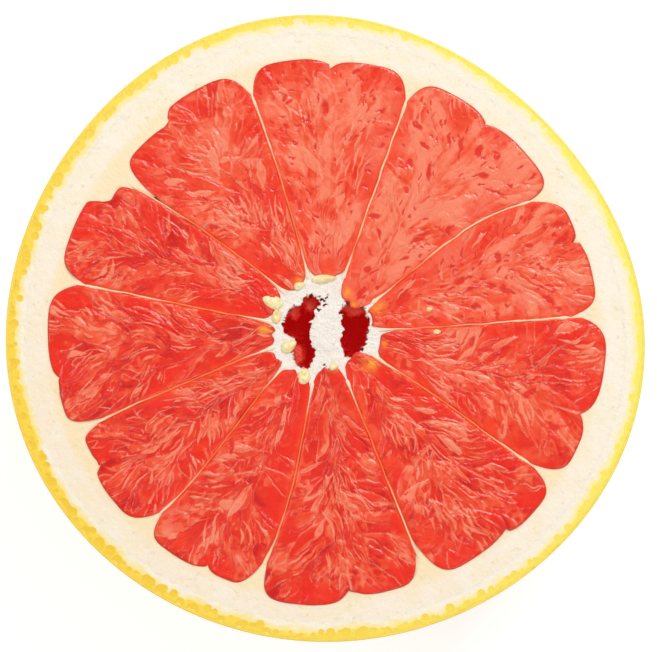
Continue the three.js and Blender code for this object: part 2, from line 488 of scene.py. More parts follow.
def peel_place(share, angle):
    """A point of the dome: share 0 is the pole and 1 the cut edge, by arc length along the profile."""
    depth = pole_height * np.sin(np.linspace(np.pi / 2, 0, 600))
    reach = mean_radius * (1 - (depth / pole_height) ** FULLNESS) ** (1 / FULLNESS)
    level = cut_height - depth
    walked = np.concatenate([[0], np.cumsum(np.hypot(np.diff(reach), np.diff(level)))])
    radius = np.interp(share, walked / walked[-1], reach) * waved(angle, mean_radius) / mean_radius
    height = np.interp(share, walked / walked[-1], level)
    return np.stack([radius * np.cos(angle) + middle[0], radius * np.sin(angle) + middle[1], height], -1)


def rim_place(inward, angle, level):
    """A point so far inside the peel's outline, at a level above the cut."""
    radius = waved(angle, mean_radius) - inward
    x, y = radius * np.cos(angle) + middle[0], radius * np.sin(angle) + middle[1]
    return np.stack([x, y, cut_height + level + 0 * x], -1)


def rim_polar(x, y):
    """How far a point on the cut lies inside the peel's outline, and its direction."""
    angle = np.arctan2(y - middle[1], x - middle[0])
    return waved(angle, mean_radius) - np.hypot(x - middle[0], y - middle[1]), angle


def ripeness(angle):
    """1 on the golden side of the fruit and 0 on the lemon side, by a cosine."""
    return 0.5 + 0.5 * np.cos(angle - np.radians(RIPE_SIDE))


def gland_mask(inward, angle):
    """1 in the middle of a cut gland, 0 outside: one less the square of the distance over the radius. The
    glands stand in a jittered row under the rim, so only the three nearest in the row are tried."""
    rng = np.random.default_rng(7)
    shift = rng.uniform(-0.45, 0.45, gland_count)
    sink = rng.uniform(-0.6, 0.6, gland_count)
    size = rng.uniform(0.3, 1.15, gland_count)
    ripe = ripeness(angle)
    turn = (angle % FULL_TURN) * gland_count / FULL_TURN
    best = np.zeros_like(turn)
    for step in (-1, 0, 1):
        k = np.floor(turn).astype(int) + step
        n = k % gland_count
        along = (turn - (k + 0.5 + shift[n])) * GLAND_PITCH
        across = inward - blend(*GLAND_DEPTHS, ripe) - sink[n]
        radius = blend(*GLAND_RADII, ripe) * size[n]
        best = np.maximum(best, 1 - (along**2 + across**2) / radius**2)
    return np.clip(best, 0, 1)


def cut_level(x, y, inward):
    """The cut's fine relief: spongy in the pith, and smoother towards the peel."""
    sponge = 0.04 * flat_noise(x, y, 1.1, 22) + 0.035 * flat_noise(x, y, 0.5, 23)
    holes = -0.09 * soft(0.3, 0.1, dot_distance(x, y, 0.0, 2.6, 24))
    return (sponge + holes) * (0.3 + 0.7 * soft(1.2, 3, inward))

# %% Build the peel's outside
share, angle = disc_grid(PEEL_STEPS)
dome = peel_place(share, angle)
x, y, z = np.moveaxis(dome, -1, 0)
PIT_SPACING, PIT_DEPTH = 1.75, 0.2
LUMPS_STAY_IN = 0.36  # the highest lump then just reaches the dome
from_cut = soft(0.2, 5, cut_height - z)
pits = soft(0.4, 0.08, dot_distance(x, y, z, PIT_SPACING, 11)) * from_cut
lumps = 0.22 * noise(x, y, z, 9, 12) + 0.14 * noise(x, y, z, 3.5, 13)
inward_push = from_cut * (LUMPS_STAY_IN - lumps) + PIT_DEPTH * pits
hub = np.array([middle[0], middle[1], cut_height])
outward = (dome - hub) / np.linalg.norm(dome - hub, axis=-1, keepdims=True)
dome = dome - outward * inward_push[..., None]
around_pole = np.hypot(dome[..., 0], dome[..., 1])
SCAR_RADIUS, SCAR_DEPTH = 3.0, 0.55
scar = soft(SCAR_RADIUS, 0.6 * SCAR_RADIUS, around_pole + 0.5 * noise(x, y, z, 1.2, 14))
dome[..., 2] = np.maximum(dome[..., 2] - inward_push, 0) + SCAR_DEPTH * scar
edge_of_dome = edge_of(dome)
edge_of_dome[:, 2] = cut_height - 0.2
dome[0, :-1], dome[:-1, -1], dome[-1, :0:-1], dome[:0:-1, 0] = np.split(edge_of_dome, 4)
edge_angle = edge_of(angle)
# The lip, as distances inward and levels: over its rounded top, then down inside the fruit.
LIP = [(0.03, -0.11), (0.1, -0.05), (0.22, -0.015), (0.4, -0.01), (0.9, -0.08), (1.2, -1.5), (3, -16)]
peel = closed_body("peel", dome, [rim_place(inward, edge_angle, level) for inward, level in LIP])
x, y, z = places_of(peel).T
inward, direction = rim_polar(x, y)
paint(peel, "pit", pits)
paint(peel, "scar", scar)
paint(peel, "ripe", np.clip(ripeness(direction) + 0.7 * soft(2, 20, cut_height - z), 0, 1))
paint(peel, "low", soft(1.5, 14, cut_height - z))
print("peel:", len(peel.data.vertices), "points,", round(places_of(peel)[:, 2].min(), 2), "mm lowest")

# %% Build the zest ring
SEAM = [(0.1, -0.006), (0.13, -0.1)]  # the zest runs on just under the pith, and the pith under the zest
ZEST_ROWS, PITH_ROWS = 25, 44
angle = np.linspace(0, FULL_TURN, RIM_STEPS, endpoint=False)
zest_rings = []
for inward in np.linspace(BAND_START, BAND_WIDTH, ZEST_ROWS):
    flat = rim_place(inward, angle, 0.0)
    level = cut_level(flat[:, 0], flat[:, 1], inward)
    level = level - blend(0.02, 0.09, ripeness(angle)) * gland_mask(inward, angle)
    level = level - 0.1 * (inward == BAND_START)
    zest_rings.append(rim_place(inward, angle, level))
zest_edge = zest_rings[-1][:, 2] - cut_height
for past, level in SEAM:
    zest_rings.append(rim_place(BAND_WIDTH + past, angle, level + zest_edge))
seam_end = SEAM[-1][0]
zest_rings += [rim_place(BAND_WIDTH + seam_end, angle, -1.5), rim_place(BAND_START + 0.2, angle, -1.5)]
zest = ring_body("zest", zest_rings)
x, y, z = places_of(zest).T
inward, direction = rim_polar(x, y)
ripe = ripeness(direction)
THIN_STRIP, THICK_STRIP = 0.95, 1.95  # the yellow layer, seen from the side, on the lemon and golden sides
strip = blend(THIN_STRIP, THICK_STRIP, ripe**1.5)
strip = strip + 0.5 * flat_noise(x, y, 4.5, 16) + 0.45 * flat_noise(x, y, 1.3, 17)
gland = gland_mask(inward, direction)
paint(zest, "yellow", np.maximum(soft(0.5, -0.3, inward - strip), soft(0, 0.45, gland)))
paint(zest, "halo", soft(2.1, -0.2, inward - strip))
paint(zest, "gland", gland)
paint(zest, "ripe", ripe)
print("zest:", len(zest.data.vertices), "points")

# %% [markdown]
# ## The peel's finish
#
# Peel is waxy and a little translucent: light enters the yellow layer and comes out beside where it went
# in. Subsurface scattering shows that, with a soft coat for the wax. The colour is golden on the riper
# side and lemon on the other, with a faint pink blush. Each pit is painted slightly darker, as shade in
# the pit. The zest ring is the same yellow layer seen from the side: its glands are darker round their
# walls, and it fades into cream where the pith begins.

# %% The peel's two materials
GOLDEN, LEMON, BLUSH = (0.94, 0.61, 0.06, 1), (0.88, 0.72, 0.11, 1), (0.93, 0.44, 0.13, 1)
CREAM = (0.88, 0.79, 0.64, 1)

skin, tree, shader = new_material("waxy_peel")
place = object_place(tree)
outside = mix(tree, attribute(tree, "ripe"), LEMON, GOLDEN)
blush = mix(tree, attribute(tree, "low"), outside, BLUSH)
outside = use_group(tree, mottle, Base=outside, Patch=blush, Scale=38.0, Amount=0.35)["Color"]
# Each pit is painted darker: painted shade in the pit.
pit_shade_share = math_node(tree, "MULTIPLY", attribute(tree, "pit"), 0.5)
outside = mix(tree, pit_shade_share, outside, (0.76, 0.42, 0.02, 1))
speckle = remap(tree, noise_node(tree, place, 620.0, 3.0), 0.45, 0.75, 0.0, 0.3)
outside = mix(tree, speckle, outside, (0.80, 0.50, 0.02, 1))
SCAR_EDGE, SCAR_MIDDLE = (0.26, 0.14, 0.05, 1), (0.52, 0.36, 0.15, 1)
scarred = mix(tree, remap(tree, attribute(tree, "scar"), 0.6, 1.0), SCAR_EDGE, SCAR_MIDDLE)
scarred = use_group(tree, mottle, Base=scarred, Patch=(0.22, 0.13, 0.06, 1), Scale=900.0, Amount=0.6)["Color"]
outside = mix(tree, remap(tree, attribute(tree, "scar"), 0.0, 0.35), outside, scarred)
feed(tree, shader.inputs["Base Color"], outside)
feed(tree, shader.inputs["Roughness"], remap(tree, noise_node(tree, place, 90.0), 0.3, 0.7, 0.42, 0.55))
pores = tree.nodes.new("ShaderNodeTexVoronoi")
feed(tree, pores.inputs["Vector"], place)
pores.inputs["Scale"].default_value = 720.0
pore_height = math_node(tree, "ADD", remap(tree, pores.outputs["Distance"], 0.1, 0.5),
                        use_group(tree, wet_grain, Scale=2600.0, Fine=0.4)["Height"])
feed(tree, shader.inputs["Normal"], bump(tree, pore_height, 0.00009, 1.0))
glowing(shader, 0.2, (1.0, 0.6, 0.15), 0.0015)
coated(shader, 0.35, 0.22)
finish_piece(peel, skin, "peel")

cut_zest, tree, shader = new_material("cut_zest")
place = object_place(tree)
ripe, gland = attribute(tree, "ripe"), attribute(tree, "gland")
fringe = mix(tree, ripe, (0.90, 0.79, 0.32, 1), (0.89, 0.70, 0.22, 1))
zest_colour = mix(tree, ripe, (0.90, 0.77, 0.12, 1), (0.89, 0.61, 0.045, 1))
gland_colour = mix(tree, ripe, (0.90, 0.78, 0.13, 1), (0.87, 0.55, 0.02, 1))
ring_wall = math_node(tree, "MULTIPLY", remap(tree, gland, 0.02, 0.2), remap(tree, gland, 0.7, 0.3))
wander = math_node(tree, "MULTIPLY_ADD", noise_node(tree, place, 1100.0), 0.5, -0.25)
halo = math_node(tree, "ADD", attribute(tree, "halo"), wander)
yellow = math_node(tree, "ADD", attribute(tree, "yellow"), wander)
colour = mix(tree, remap(tree, halo, 0.1, 0.9, 0.0, 0.9), CREAM, fringe)
colour = mix(tree, remap(tree, yellow, 0.25, 0.6), colour, zest_colour)
colour = mix(tree, remap(tree, gland, 0.2, 0.6), colour, gland_colour)
ring_wall = math_node(tree, "MULTIPLY", ring_wall, remap(tree, ripe, 0.1, 1.0, 0.0, 0.45))
colour = mix(tree, ring_wall, colour, (0.76, 0.50, 0.03, 1))
feed(tree, shader.inputs["Base Color"], colour)
feed(tree, shader.inputs["Roughness"], remap(tree, gland, 0.0, 0.7, 0.6, 0.3))
grain = use_group(tree, wet_grain, Scale=2200.0, Fine=0.5)["Height"]
feed(tree, shader.inputs["Normal"], bump(tree, grain, 0.0001))
glowing(shader, 0.12, (1.0, 0.8, 0.3), 0.0012)
finish_piece(zest, cut_zest, "peel")

# %% [markdown]
# ## The pith
#
# Pith is the white spongy layer. On the cut it is dry and matte, with fine fibres that run outward and
# tiny hollows. It is one ring, carried in under the edges of the segments, so the segments seem to sit
# in it and the points of pith between their backs appear by themselves. It shares its relief with the
# zest ring, so no step shows between the two.

# %% Build the pith
PITH_INNER, PITH_DEPTH = 37.5, 6.0  # the ring starts so far from the core, and goes down so far
angle = np.linspace(0, FULL_TURN, RIM_STEPS, endpoint=False)
inner = PITH_INNER + (core - middle) @ np.stack([np.cos(angle), np.sin(angle)])
inner = waved(angle, mean_radius) - inner
pith_rings = []
for past, level in SEAM[::-1]:
    pith_rings.append(rim_place(BAND_WIDTH - past, angle, level + zest_edge))
for step in np.linspace(0, 1, PITH_ROWS):
    inward = blend(BAND_WIDTH, inner, step)
    flat = rim_place(inward, angle, 0.0)
    fibres = 0.035 * noise(25 * np.cos(angle), 25 * np.sin(angle), inward * 0.4, 1.0, 21) * min(step * 9, 1)
    pith_rings.append(rim_place(inward, angle, cut_level(flat[:, 0], flat[:, 1], inward) + fibres))
pith_rings += [rim_place(inner, angle, -PITH_DEPTH), rim_place(BAND_WIDTH - seam_end, angle, -PITH_DEPTH)]
pith = ring_body("pith", pith_rings)
print("pith:", len(pith.data.vertices), "points")
x, y, z = places_of(pith).T
inward, direction = rim_polar(x, y)
paint(pith, "inward", inward)
paint(pith, "warm", soft(0.5, -0.9, np.cos(direction - np.radians(60))))

# %% The pith's material
spongy, tree, shader = new_material("spongy_pith")
place = object_place(tree)
inward = attribute(tree, "inward")
base = mix(tree, attribute(tree, "warm"), CREAM, (0.87, 0.74, 0.58, 1))
base = use_group(tree, mottle, Base=base, Patch=(0.88, 0.80, 0.69, 1), Scale=150.0, Amount=0.6)["Color"]
base = use_group(tree, mottle, Base=base, Patch=(0.86, 0.73, 0.45, 1), Scale=330.0, Amount=0.35)["Color"]
flecks = remap(tree, noise_node(tree, place, 1000.0), 0.62, 0.74)
base = mix(tree, math_node(tree, "MULTIPLY", flecks, 0.4), base, (0.66, 0.52, 0.22, 1))
by_flesh = math_node(tree, "MULTIPLY", remap(tree, inward, 6.2, 8.2), 0.55)
base = mix(tree, by_flesh, base, (0.88, 0.68, 0.36, 1))
feed(tree, shader.inputs["Base Color"], mix(tree, remap(tree, inward, 3.9, 3.1), base, CREAM))
shader.inputs["Roughness"].default_value = 0.75
grain = use_group(tree, wet_grain, Scale=2200.0, Fine=0.5)["Height"]
feed(tree, shader.inputs["Normal"], bump(tree, grain, 0.0001))
glowing(shader, 0.12, (1.0, 0.8, 0.5), 0.0012)
finish_piece(pith, spongy, "pith")

# %% [markdown]
# ## The segments' plan
#
# Every segment lies between two skins. A point in it is given by two numbers: across, from one skin to
# the next, and along, from its tip to its back. The back is two arches with a notch between them.
# Working in these two numbers keeps the grid lines parallel to the skins.

# %% Where a segment's points lie
CORNER_POWER, NOTCH_POWER = 4.5, 4
NOTCH_SLOPE = 0.06  # one lobe's rind turns into the next's over this share to each side of the notch
TIP_DROP, TIP_POWER = 2.5, 6


def skin_angle(index, distance):
    """A skin's direction at any distance from the core, on the parabola through its three given ones."""
    near, half, far = SKIN_DISTANCES
    a, b, c = SKINS[index % len(SKINS)]
    curved = (
        a * (distance - half) * (distance - far) / ((near - half) * (near - far))
        + b * (distance - near) * (distance - far) / ((half - near) * (half - far))
        + c * (distance - near) * (distance - half) / ((far - near) * (far - half))
    )
    return np.radians(curved + 360 * (index // len(SKINS)))


def from_core(angle, distance):
    """A place on the cut, by its direction and distance from the core."""
    return core[0] + distance * np.cos(angle), core[1] + distance * np.sin(angle)


def back_distance(index, across):
    """How far a back reaches: the peel less the rind, less a drop at each skin and at the notch."""
    _, notch, rinds, depth, corners, _ = SEGMENTS[index]
    far = SKIN_DISTANCES[2]
    first, last = skin_angle(index, far), skin_angle(index + 1, far)
    split = (np.radians(notch) - first) / (last - first)
    in_first = across < split
    start, end = np.where(in_first, 0, split), np.where(in_first, split, 1)
    crest = blend(first, last, (start + end) / 2)
    peel_there = waved(crest, mean_radius) - CORE_SHIFT[0] * np.cos(crest) - CORE_SHIFT[1] * np.sin(crest)
    lobe = (across - start) / (end - start) * 2 - 1
    by_skin = np.where(in_first, lobe < 0, lobe > 0)
    corner = np.where(in_first, *corners) * np.abs(lobe) ** CORNER_POWER
    drop = np.where(by_skin, corner, depth * np.abs(lobe) ** NOTCH_POWER)
    return peel_there - blend(*rinds, soft(split - NOTCH_SLOPE, split + NOTCH_SLOPE, across)) - drop


def tip_distance(index, across):
    """How close a tip comes to the core: rounded, with a ragged edge."""
    ragged = 0.35 * flat_noise(across * 6, index * 3.0, 1.0, 31)
    return SEGMENTS[index][0] + TIP_DROP * np.abs(across * 2 - 1) ** TIP_POWER + ragged


def segment_place(index, across, distance, clear=0.0):
    """A point of a segment, as x, y and its direction, kept clear of the skins by so many millimetres."""
    first = skin_angle(index, distance) + clear / distance
    last = skin_angle(index + 1, distance) - clear / distance
    angle = blend(first, last, across)
    return *from_core(angle, distance), angle


reaches = [back_distance(index, np.array(0.5)) for index in range(len(SEGMENTS))]
print("backs reach", np.round(reaches, 1), "mm from the core")

# %% [markdown]
# ## Juice sacs
#
# The flesh of a segment is many long sacs. They hang from the rind and the skins and point to the core,
# so from above they lie like the barbs of a feather: along the middle they run inward, and towards the
# sides they lean over. Each sac here is a lens that tapers at both ends. The sacs are laid one after
# another, large ones first, then small ones, then the wisps that are torn edges of cut sacs. Laying one
# over the last gives real overlaps, which cells side by side never do. Where no sac is laid, the cut has
# gone through a large full sac, and one looks into clear red juice.

# %% Throw the sacs of one segment
LEAN = 56  # degrees that sacs lean out at the skins
LARGE, SMALL, WISP = 0, 1, 2
SAC_COUNTS = np.array([52, 46, 108])
# A segment's paleness is painted sheen, and where it is strong the segment also has fewer sacs.
CALMED = np.array([0.2, 0.5, 0.7])  # the share that a pale, smooth segment goes without
HALF_LENGTHS, HALF_WIDTHS = np.array([6.2, 2.9, 2.7]), np.array([1.35, 0.62, 0.27])
SAC_TONES = np.array([-0.14, 0.0, 0.6])
PALE_SACS = 0.3  # the share of the small sacs that are cut along their pale wall
FAN_SIZE, FAN_SPACING = 5, 1.0  # wisps lie side by side in fans, so many millimetres apart


def sac_lean(across, along):
    """How far a sac leans from the core's direction, by side and by how far out it is, in radians."""
    side = across * 2 - 1
    outward = soft(0.05, 0.5, along) * (1 - 0.5 * soft(0.72, 1.05, along))
    return np.radians(LEAN) * np.sign(side) * np.abs(side) ** 0.7 * outward


def juicy_field(index, x, y, from_edge):
    """1 in the clear windows, which gather beside the skins and the rind: noise, cut off and faded."""
    field = soft(0.0, 0.3, flat_noise(x, y, 4.2, 60 + index)) * soft(8, 1.5, from_edge)
    return field * (1 - 0.6 * SEGMENTS[index][5])


def throw_sacs(index):
    """Every sac of a segment as rows of numbers, in the order that they are laid."""
    rng = np.random.default_rng(100 + index)
    sheen_and_calm = SEGMENTS[index][5]
    kind = np.repeat([LARGE, SMALL, WISP], (SAC_COUNTS * (1 - CALMED * sheen_and_calm)).astype(int))
    count = len(kind)
    across = rng.uniform(0.02, 0.98, count)
    near, far = tip_distance(index, across), back_distance(index, across)
    distance = np.sqrt(blend(near**2, (far - 0.6) ** 2, rng.uniform(0, 1, count)))
    x, y, angle = segment_place(index, across, distance)
    lean = sac_lean(across, (distance - near) / (far - near))
    turn = angle + lean + rng.normal(0, 0.2, count) + 0.4 * flat_noise(x, y, 7, 200 + index)
    from_side = distance * (skin_angle(index + 1, distance) - skin_angle(index, distance))
    from_side = from_side * np.minimum(across, 1 - across)
    clear = juicy_field(index, x, y, np.minimum(from_side, far - distance))
    bare = soft(-0.1, 0.3, flat_noise(x, y, 4.5, 240 + index))
    shown = rng.uniform(0, 1, count) > np.select([kind == LARGE, kind == SMALL], [0.5 * clear, clear],
                                                 np.maximum(0.8 * clear, bare))
    narrow = blend(0.55, 1.1, soft(8, 30, distance))
    order = np.arange(count)
    wisp = kind == WISP
    leader = np.where(wisp, order - (order - np.sum(~wisp)) % FAN_SIZE, order)
    step = np.where(wisp, order - leader - FAN_SIZE / 2, 0.0)
    turn = turn[leader] + 0.05 * step + np.where(wisp, rng.normal(0, 0.07, count), 0)
    ux, uy = np.cos(turn), np.sin(turn)
    slide = np.where(wisp, rng.normal(0, 0.8, count), 0)
    apart = step * FAN_SPACING * rng.uniform(0.75, 1.2, count)
    pale_wall = (kind == SMALL) & (rng.uniform(0, 1, count) < PALE_SACS)
    x, y = x[leader] + ux * slide - uy * apart, y[leader] + uy * slide + ux * apart
    return {
        "x": x, "y": y, "ux": ux, "uy": uy,
        "half": HALF_LENGTHS[kind] * rng.uniform(0.4, 1.4, count) * blend(0.8, 1, narrow),
        "wide": HALF_WIDTHS[kind] * rng.uniform(0.55, 1.35, count) * narrow,
        "tone": SAC_TONES[kind] + rng.uniform(-0.3, 0.35, count) + 0.65 * pale_wall,
        "bend": np.where(wisp, rng.normal(0, 0.06, count)[leader], rng.normal(0, 0.035, count)),
        "rank": rng.uniform(0, 1, count), "kind": kind,
    }, np.flatnonzero(shown[leader])


print("sacs in each segment:", [len(throw_sacs(index)[1]) for index in range(len(SEGMENTS))])

# %% Lay the sacs on the flesh
# The dark line beside a sac that lies over another is painted shadow.
CREASE_SHADOW_WIDTH = 0.2  # of the dark line beside a sac that lies over another, in millimetres


def lay_sacs(index, x, y):
    """Lays the sacs on a segment's points. A sac's half width at a place along it, from -1 to 1, is its
    greatest one times one less that place squared. Points inside take the sac's numbers, and those just
    outside take a painted shadow line, stronger on one side, until a later sac covers them."""
    sacs, kept = throw_sacs(index)
    own = np.zeros(x.shape, int)
    inset, along, side = np.full(x.shape, 2.0), x * 0.2, y * 0.2
    tone, crease_shadow, level = np.full(x.shape, -0.2), np.zeros(x.shape), np.zeros(x.shape)
    for i in kept:
        cx, cy, ux, uy, half, wide, sac_tone, bend, rank, kind = (column[i] for column in sacs.values())
        near = np.flatnonzero((np.abs(x - cx) < half) & (np.abs(y - cy) < half))
        dx, dy = x[near] - cx, y[near] - cy
        a, b = (dx * ux + dy * uy) / half, dy * ux - dx * uy
        b = b - bend * (a * half) ** 2
        reach = wide * np.maximum(1 - a**2, 0) * (1 + 0.3 * a)
        depth = np.where(np.abs(a) < 1, reach - np.abs(b), -9)
        # Just outside a sac lies a painted shadow line, stronger on one side.
        by = (depth > -CREASE_SHADOW_WIDTH) & (depth <= 0)
        strong = np.where(b[by] > 0, 1, 0.25) * (1 + depth[by] / CREASE_SHADOW_WIDTH)
        crease_shadow[near[by]] = np.maximum(crease_shadow[near[by]], strong)
        inside = depth > 0
        spot, depth = near[inside], depth[inside]
        own[spot], along[spot] = i, a[inside]
        side[spot] = b[inside] / reach[inside]
        swell = 1 - np.exp(-depth / 0.3)
        if kind == WISP:
            tone[spot] = np.maximum(tone[spot], blend(tone[spot], sac_tone, soft(0, 0.13, depth)))
            level[spot] += 0.12 * swell
            crease_shadow[spot] *= 0.2
        else:
            # Each sac is painted paler towards one side: painted shading across its pillow.
            tone[spot] = sac_tone + 0.12 * side[spot]
            level[spot] = 0.4 * level[spot] + 0.16 * rank + 0.23 * swell - 0.12
            crease_shadow[spot] = 0
            inset[spot] = depth
    return own, inset, along, side, tone, crease_shadow, level


x, y, _ = segment_place(0, 0.5, np.array([12.0, 20.0, 30.0]))
print("three points of the first segment lie on sacs", lay_sacs(0, x, y)[0])

# %% [markdown]
# ## Turning sacs into flesh
#
# The height of the flesh is what the laid sacs give: a pillow over each one, stepped where it lies over
# the next. It ends in a sharp rounded lip at the skins and the rind. The colours are stored beside it,
# as numbers on the points: how pale the flesh is, mostly painted sheen, where a sac's pale wall shows
# with a painted highlight, where a painted shadow lies in a crease beside an overlapping sac, and where
# the juice is clear. Shader nodes turn those numbers into colour later, so colour and shape always agree.

# %% Spots and dashes in the flesh
# Each spot: x, y and radius. Amber ones lie by the core, and vivid red ones mostly beside the skins.
AMBER_SPOTS = [(4.0, 6.6, 1.1), (5.2, 4.9, 0.9), (9.7, 4.7, 1.4), (10.2, -2.2, 1.1), (8.1, -5.8, 1.7),
               (1.8, -6.4, 0.9), (-10.1, 0.4, 1.1), (-4.4, 8.2, 1.3), (0.4, 8.6, 1.6)]
EMBER_SPOTS = [(29.2, -16.4, 2.4), (11.8, -23.0, 1.9), (14.5, -30.0, 2.1), (10.2, -19.6, 1.4),
               (17.0, -9.0, 2.4), (17.6, -36.0, 2.6), (-7.0, 32.1, 1.5), (-3.2, 18.9, 2.1),
               (-4.9, 27.6, 1.4), (-24.1, 21.0, 1.9), (-7.4, 10.4, 1.7), (-18.2, -7.0, 1.5),
               (-21.6, -20.2, 1.6), (-24.5, -36.0, 2.0), (12.5, 2.8, 1.8), (20.5, 2.6, 1.6)]


def spots_field(x, y, spots):
    """Soft round spots, each a bell curve round its middle."""
    away = [np.hypot(x - middle[0] - sx, y - middle[1] - sy) / r for sx, sy, r in spots]
    return sum(np.exp(-(distance**2) / 0.6) for distance in away)


def dash_field(index, x, y):
    """1 in short dark dashes where single sacs were sliced open, strewn along the way the sacs run. Each
    is a bent ellipse: one less the distance from its middle, measured in its own two half sizes."""
    rng = np.random.default_rng(300 + index)
    count = int(30 + 210 * SEGMENTS[index][5])
    across = rng.uniform(0.04, 0.96, count)
    near, far = tip_distance(index, across), back_distance(index, across)
    along = rng.uniform(0.01, 1, count) ** 0.7 * 0.97
    dx, dy, angle = segment_place(index, across, blend(near, far, along))
    turn = angle + sac_lean(across, along) + rng.normal(0, 0.5, count)
    half, thin = rng.uniform(0.35, 0.95, count), rng.uniform(0.17, 0.33, count)
    large = rng.uniform(0, 1, count) < 0.12
    half, thin = half * np.where(large, 2.3, 1), thin * np.where(large, 2.2, 1)
    shown = rng.uniform(-0.9, 0.5, count) < flat_noise(dx, dy, 5, 320 + index)
    field = np.zeros(x.shape)
    for i in np.flatnonzero(shown):
        a = ((x - dx[i]) * np.cos(turn[i]) + (y - dy[i]) * np.sin(turn[i])) / half[i]
        b = ((y - dy[i]) * np.cos(turn[i]) - (x - dx[i]) * np.sin(turn[i]) + 0.1 * a * a) / thin[i]
        field = np.maximum(field, 1 - np.sqrt(a * a + b * b))
    return soft(0, 0.45, field)


print("spots:", len(AMBER_SPOTS), "amber,", len(EMBER_SPOTS), "vivid red")

# %% The grid of points of one segment
SEGMENT_COLUMNS, SEGMENT_ROWS = 180, 264
CLEARANCE = 0.13  # from a segment's side to the middle of its skin


def segment_grid(index):
    """The points of one segment, and what depends only on where they lie: how far each is from the core,
    the sides, the back and the tip, and how pale with painted sheen, and how smooth, the flesh is there."""
    across, along = np.meshgrid(
        np.linspace(0, 1, SEGMENT_COLUMNS), np.linspace(0, 1, SEGMENT_ROWS), indexing="ij"
    )
    near, far = tip_distance(index, across), back_distance(index, across)
    distance = blend(near, far, along)
    # Each side keeps a slightly uneven gap to its skin.
    clear = CLEARANCE + 0.05 * flat_noise(distance, index * 9 + np.round(across) * 5, 2.2, 33)
    x, y, _ = segment_place(index, across, distance, clear)
    width = distance * (skin_angle(index + 1, distance) - skin_angle(index, distance))
    from_side, from_back, from_tip = width * np.minimum(across, 1 - across), far - distance, distance - near
    return SimpleNamespace(
        across=across, along=along, distance=distance, x=x, y=y, width=width,
        from_side=from_side, from_back=from_back, from_tip=from_tip,
        brim=np.minimum(np.minimum(from_side, from_back), from_tip),
        sheen_and_calm=SEGMENTS[index][5] * (0.35 + 0.65 * soft(11, 19, distance)),
    )


print(f"the first segment is {segment_grid(0).width.max():.1f} mm wide at its back")

# %% The marks on the flesh of one segment
NOTCH_LINE = 9.0  # how far the pale line runs in from each notch
SAC_END = 1.3  # near the rind some sacs are cut across, and show as pebbles of this size


def flesh_marks(index, grid):
    """The laid sacs and the finer marks, each as a number at every point of a segment's grid."""
    x, y = grid.x, grid.y
    # The sacs are laid on places that noise has pushed about, so that no edge of theirs is straight.
    wx = x + 0.5 * flat_noise(x, y, 4, 41) + 0.2 * flat_noise(x, y, 1.2, 42)
    wy = y + 0.5 * flat_noise(x, y, 4, 43) + 0.2 * flat_noise(x, y, 1.2, 44)
    own, inset, q, side, tone, crease_shadow, level = (
        part.reshape(x.shape) for part in lay_sacs(index, wx.ravel(), wy.ravel())
    )
    torn = noise(q * 1.6, side * 0.8, own * 2.3, 1.0, 48) + 0.5 * flat_noise(wx, wy, 0.8, 50)
    # A pale wall, with a painted highlight, shows on one side of a sac, and the crease's painted shadow on
    # the other, both in pieces.
    broken = soft(-0.25, 0.25, flat_noise(x, y, 1.9, 53 + index))
    wall_and_highlight = soft(0.28, 0.06, inset) * np.where(side < 0, 1, 0.3) * broken
    crease_shadow = crease_shadow * (0.35 + 0.65 * soft(0.2, -0.2, flat_noise(x, y, 1.5, 64 + index)))
    near_edge = np.minimum(grid.from_side, grid.from_back)
    cut_across = soft(10, 4, grid.from_back) * soft(-0.15, 0.3, flat_noise(x, y, 5, 80 + index))
    return SimpleNamespace(
        wx=wx, wy=wy, tone=tone, crease_shadow=crease_shadow, level=level, wall_and_highlight=wall_and_highlight,
        streaks=noise(q * 2.0, side * 2.2, own * 3.7, 1.0, 45),
        fibres=noise(q * 4.0, side * 5.5, own * 7.1, 1.0, 51),
        torn=soft(0.34, 0.44, torn),
        drift=flat_noise(wx, wy, 3.4, 47 + index) + 0.4 * flat_noise(x, y, 1.7, 52 + index),
        juicy=juicy_field(index, x, y, near_edge) * soft(0.5, 0.2, tone),
        spot=dash_field(
            index, wx + 0.13 * flat_noise(x, y, 0.45, 59), wy + 0.13 * flat_noise(x, y, 0.45, 63)
        ),
        ends=dot_distance(wx, wy, 0.0, SAC_END, 54 + index),
        cut_across=cut_across * (1 - grid.sheen_and_calm) * soft(0.3, 0.8, grid.brim),
    )


def notch_line(index, grid):
    """1 on the pale line that runs in from a deep notch, by the distance to the notch's direction."""
    there = skin_angle(index, grid.distance)
    direction = blend(there, there + grid.width / grid.distance, grid.across)
    off_notch = grid.distance * (direction - np.radians(SEGMENTS[index][1]))
    line = soft(0.3, 0.08, np.abs(off_notch + 0.3 * flat_noise(grid.x, grid.y, 2.5, 49)))
    return line * soft(NOTCH_LINE, 1, grid.from_back) * soft(1, 1.9, SEGMENTS[index][3])


print("points on the first segment's notch line:", np.sum(notch_line(0, segment_grid(0)) > 0.5))

# %% The height and the paleness of the flesh
FLESH_RISE, FLESH_DEPTH = 0.26, 4  # mean height of the flesh above the cut pith, and its depth below
LIP_RISE, LIP_WIDTH = 0.1, 0.6


def flesh_level(grid, marks):
    """How high the flesh stands above the cut: the sacs' relief and the marks' added up, which goes down
    to the lip's level at the edge by one less the square of what is left of the lip's width."""
    lip = 1 - (1 - np.clip(grid.brim / LIP_WIDTH, 0, 1)) ** 2
    level = marks.level * (1 - 0.5 * grid.sheen_and_calm) + 0.05 * marks.torn + 0.04 * marks.streaks
    level = level + 0.1 * flat_noise(grid.x, grid.y, 5, 46) + 0.025 * marks.fibres
    level = level + marks.cut_across * (0.12 * soft(0.6, 0.1, marks.ends) - 0.05)
    level = blend(LIP_RISE, FLESH_RISE + level - 0.09 * marks.spot - 0.08 * marks.juicy, lip)
    return np.where(level < LIP_RISE, blend(LIP_RISE, level, 0.15), level)


